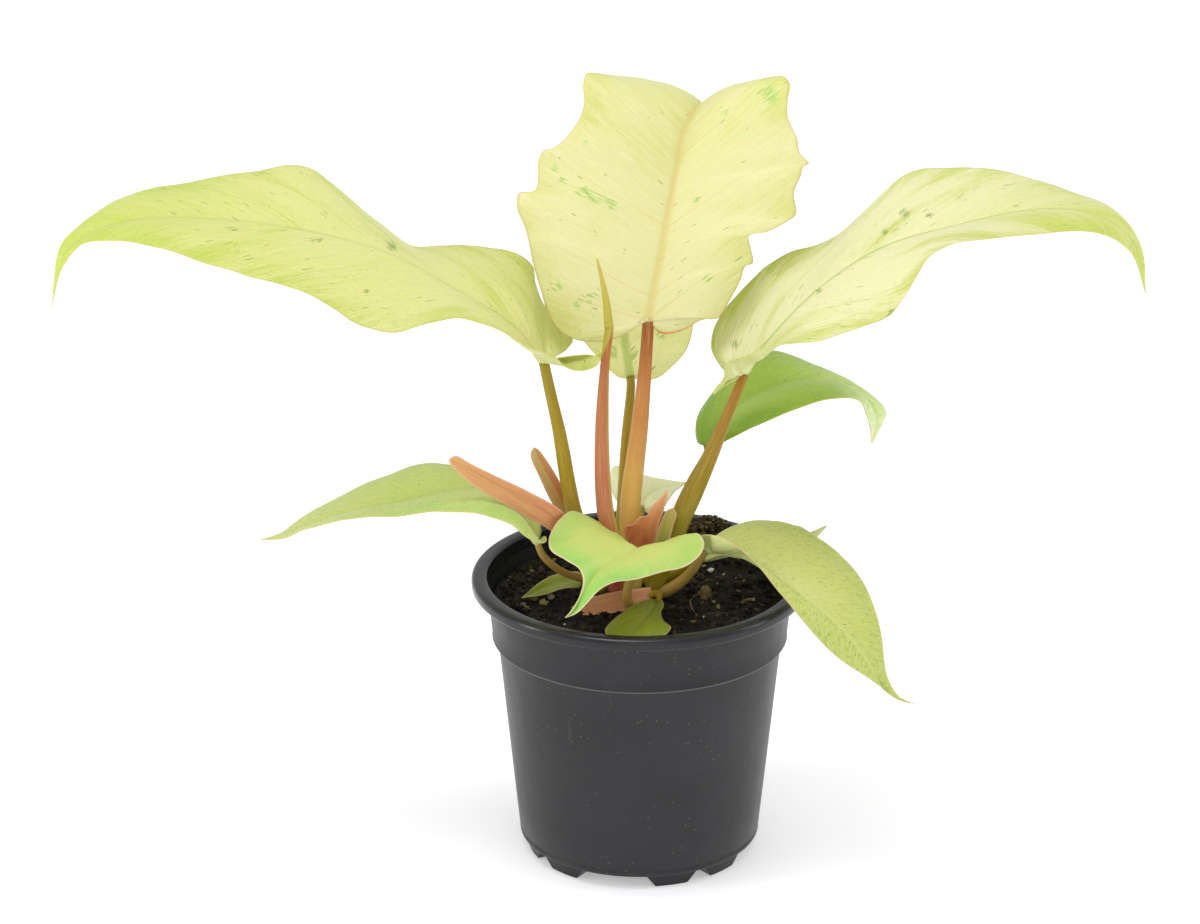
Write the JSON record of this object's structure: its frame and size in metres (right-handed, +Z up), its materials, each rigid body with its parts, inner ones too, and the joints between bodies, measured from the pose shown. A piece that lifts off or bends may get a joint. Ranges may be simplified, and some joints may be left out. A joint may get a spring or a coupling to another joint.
{
  "type": "potted snowdrift philodendron",
  "caption": "Young aroid house plant with pale arching leaves on stout stalks, growing in a round nursery pot that stands on short feet.",
  "frame": {"origin": "on the table under the middle of the plant's box; the pot's axis stands at x = 14.5 mm, y = -25 mm", "axes": "+Z up, +X along the two largest leaves to the viewer's right, the cream leaf faces -Y"},
  "size_m": [0.3803, 0.17, 0.2725],
  "materials": {
    "pot_plastic": "dark grey moulded plastic, faint gloss, dusty",
    "potting_soil": "near-black moist peat with pale grains",
    "stem_and_root": "pale tan, rough",
    "stalk_olive": "smooth waxy olive",
    "stalk_ochre": "smooth waxy ochre",
    "stalk_salmon": "smooth waxy salmon turning ochre",
    "stalk_pink": "smooth waxy pink, fine speckles",
    "blade_cream": "cream with a peach edge and rib, few green streaks",
    "blade_pale": "pale yellow green with dark green flecks",
    "blade_lime": "fresh lime green, peach edge",
    "blade_green": "mid green, satin",
    "sheath": "thin salmon sheath, paler edges"
  },
  "bodies": {
    "root": {"pot": "pot_plastic", "soil": "potting_soil", "stem_and_roots": "stem_and_root", "stalk_left_large": "stalk_olive", "blade_left_large": "blade_pale", "stalk_centre": "stalk_salmon", "blade_centre": "blade_cream", "stalk_right_large": "stalk_ochre", "blade_right_large": "blade_pale", "stalk_right_green": "stalk_olive", "blade_right_green": "blade_green", "stalk_back_upright": "stalk_olive", "blade_back_upright": "blade_pale", "stalk_back_low": "stalk_olive", "blade_back_low": "blade_lime", "stalk_left_low": "stalk_ochre", "blade_left_low": "blade_lime", "stalk_front": "stalk_ochre", "blade_front": "blade_lime", "stalk_right_low": "stalk_ochre", "blade_right_low": "blade_pale", "stalk_right_small": "stalk_olive", "blade_right_small": "blade_lime", "stalk_soil_left": "stalk_olive", "blade_soil_left": "blade_lime", "stalk_front_small": "stalk_olive", "blade_front_small": "blade_green", "stalk_young": "stalk_pink", "rolled_leaf": "blade_pale", "sheath_left_long": "sheath", "sheath_left_short": "sheath", "sheath_front_low": "sheath", "sheath_toothed": "sheath", "sheath_right_pale": "sheath"}
  },
  "joints": []
}
